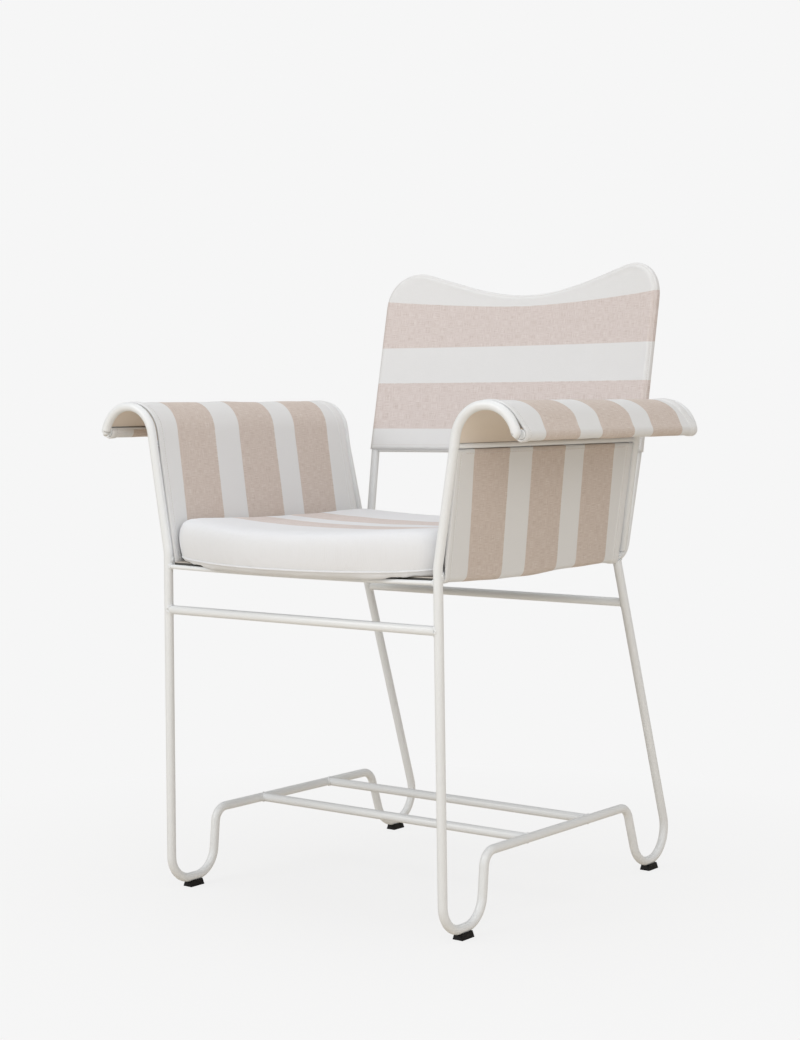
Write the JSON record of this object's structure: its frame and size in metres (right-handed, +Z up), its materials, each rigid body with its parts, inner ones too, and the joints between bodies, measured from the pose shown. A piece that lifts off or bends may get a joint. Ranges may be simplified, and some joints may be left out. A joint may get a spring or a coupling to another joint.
{
  "type": "sling patio chair",
  "caption": "Patio armchair of bent white tube with cloth slung over rolled arms, a wavy padded back and a loose bowed seat cushion.",
  "frame": {"origin": "middle of the footprint, on the floor", "axes": "+Z up, the front of the seat faces -Y, +X is the side on the right of a viewer who faces the front"},
  "size_m": [0.6996, 0.6062, 0.8597],
  "materials": {
    "steel": "satin, warm white powder coat",
    "arm_cloth": "woven outdoor cloth with wide white and beige stripes",
    "back_cloth": "woven outdoor cloth with wide white and beige stripes",
    "cushion_cloth": "woven outdoor cloth, white with beige stripes and a piped seam",
    "glide_plastic": "matt black"
  },
  "bodies": {
    "root": {"arm_cover_left": "arm_cloth", "arm_cover_right": "arm_cloth", "arm_plate_left": "steel", "arm_plate_right": "steel", "back_bottom_rail": "steel", "back_cover": "back_cloth", "back_top_rail": "steel", "back_upright_left": "steel", "back_upright_right": "steel", "front_seat_rod": "steel", "front_stretcher": "steel", "glide_front_left": "glide_plastic", "glide_front_right": "glide_plastic", "glide_rear_left": "glide_plastic", "glide_rear_right": "glide_plastic", "inner_arm_rail_left": "steel", "inner_arm_rail_right": "steel", "lower_front_stretcher": "steel", "lower_rear_stretcher": "steel", "outer_arm_rod_left": "steel", "outer_arm_rod_right": "steel", "rear_arm_post_left": "steel", "rear_arm_post_right": "steel", "rear_seat_rail": "steel", "rear_seat_rod": "steel", "seat_cushion": "cushion_cloth", "seat_pan": "steel", "side_frame_left": "steel", "side_frame_right": "steel"}
  },
  "joints": []
}
